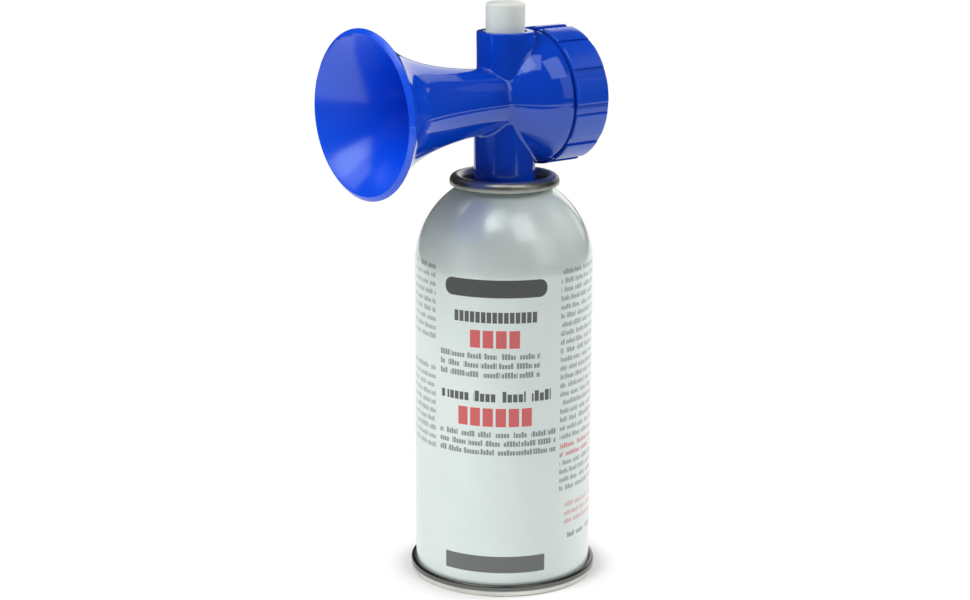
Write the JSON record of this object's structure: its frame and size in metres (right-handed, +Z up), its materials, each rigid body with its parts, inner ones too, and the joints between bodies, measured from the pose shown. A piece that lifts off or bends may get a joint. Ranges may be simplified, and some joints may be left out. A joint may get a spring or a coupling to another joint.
{
  "type": "gas air horn",
  "caption": "Hand-held gas air horn with a flared bell, screw-capped sound chamber and push button on a moulded head that screws onto a small drawn steel can.",
  "frame": {"origin": "centre of the can's bottom seam, on the plane that the can stands on", "axes": "+Z up the can's axis, X along the horn's axis with the bell towards -X and the screw cap towards +X"},
  "size_m": [0.0787, 0.0554, 0.1708],
  "materials": {
    "can_paint": "pale grey-white litho coating, satin, with a flat print",
    "tinplate": "drawn tinplate, bare, slightly dulled",
    "horn_plastic": "glossy royal blue moulding",
    "button_plastic": "milky white moulding, soft gloss",
    "valve_plastic": "natural white moulding",
    "brass": "turned brass",
    "rubber": "black rubber",
    "spring_steel": "bright drawn steel"
  },
  "bodies": {
    "can": {"can_body": "can_paint", "can_bottom": "tinplate", "seam_compound": "rubber", "valve_cup": "tinplate", "cup_gasket": "rubber", "boss_gasket": "rubber", "valve_boss": "brass", "stem_gasket": "rubber", "valve_housing": "valve_plastic", "valve_spring": "spring_steel"},
    "valve": {"valve_stem": "valve_plastic"},
    "head_lift": {"head_washer": "rubber"},
    "head": {"horn_body": "horn_plastic", "thread_insert": "brass", "diaphragm_gasket": "rubber", "diaphragm": "spring_steel"},
    "button": {"push_button": "button_plastic", "button_o_ring": "rubber", "stem_pusher": "valve_plastic"},
    "cap_lift": {"clamp_ring": "valve_plastic"},
    "cap": {"screw_cap": "horn_plastic"}
  },
  "joints": [
    {"name": "head_rise", "type": "slide", "parent": "can", "child": "head_lift", "axis": [0, 0, 1], "range_m": [0, 0.0059]},
    {"name": "head_turn", "type": "hinge", "parent": "head_lift", "child": "head", "pos_m": [0, 0, 0.1428], "axis": [0, 0, 1], "range_deg": [0, 2340]},
    {"name": "button_press", "type": "slide", "parent": "head", "child": "button", "axis": [0, 0, -1], "range_m": [0, 0.0022], "stiffness_N_per_m": 1500, "springref_m": -0.004},
    {"name": "valve_press", "type": "slide", "parent": "can", "child": "valve", "axis": [0, 0, -1], "range_m": [0, 0.0022], "deforming": ["valve_spring"]},
    {"name": "cap_draw", "type": "slide", "parent": "head", "child": "cap_lift", "axis": [1, 0, 0], "range_m": [0, 0.00521]},
    {"name": "cap_turn", "type": "hinge", "parent": "cap_lift", "child": "cap", "pos_m": [0.015, 0, 0.1428], "axis": [1, 0, 0], "range_deg": [0, 936]}
  ],
  "couplings": [
    {"joint": "head_rise", "follows": "head_turn", "m_per_rad": 0.00014438},
    {"joint": "valve_press", "follows": "button_press", "ratio": 1},
    {"joint": "cap_draw", "follows": "cap_turn", "m_per_rad": 0.00031831}
  ]
}
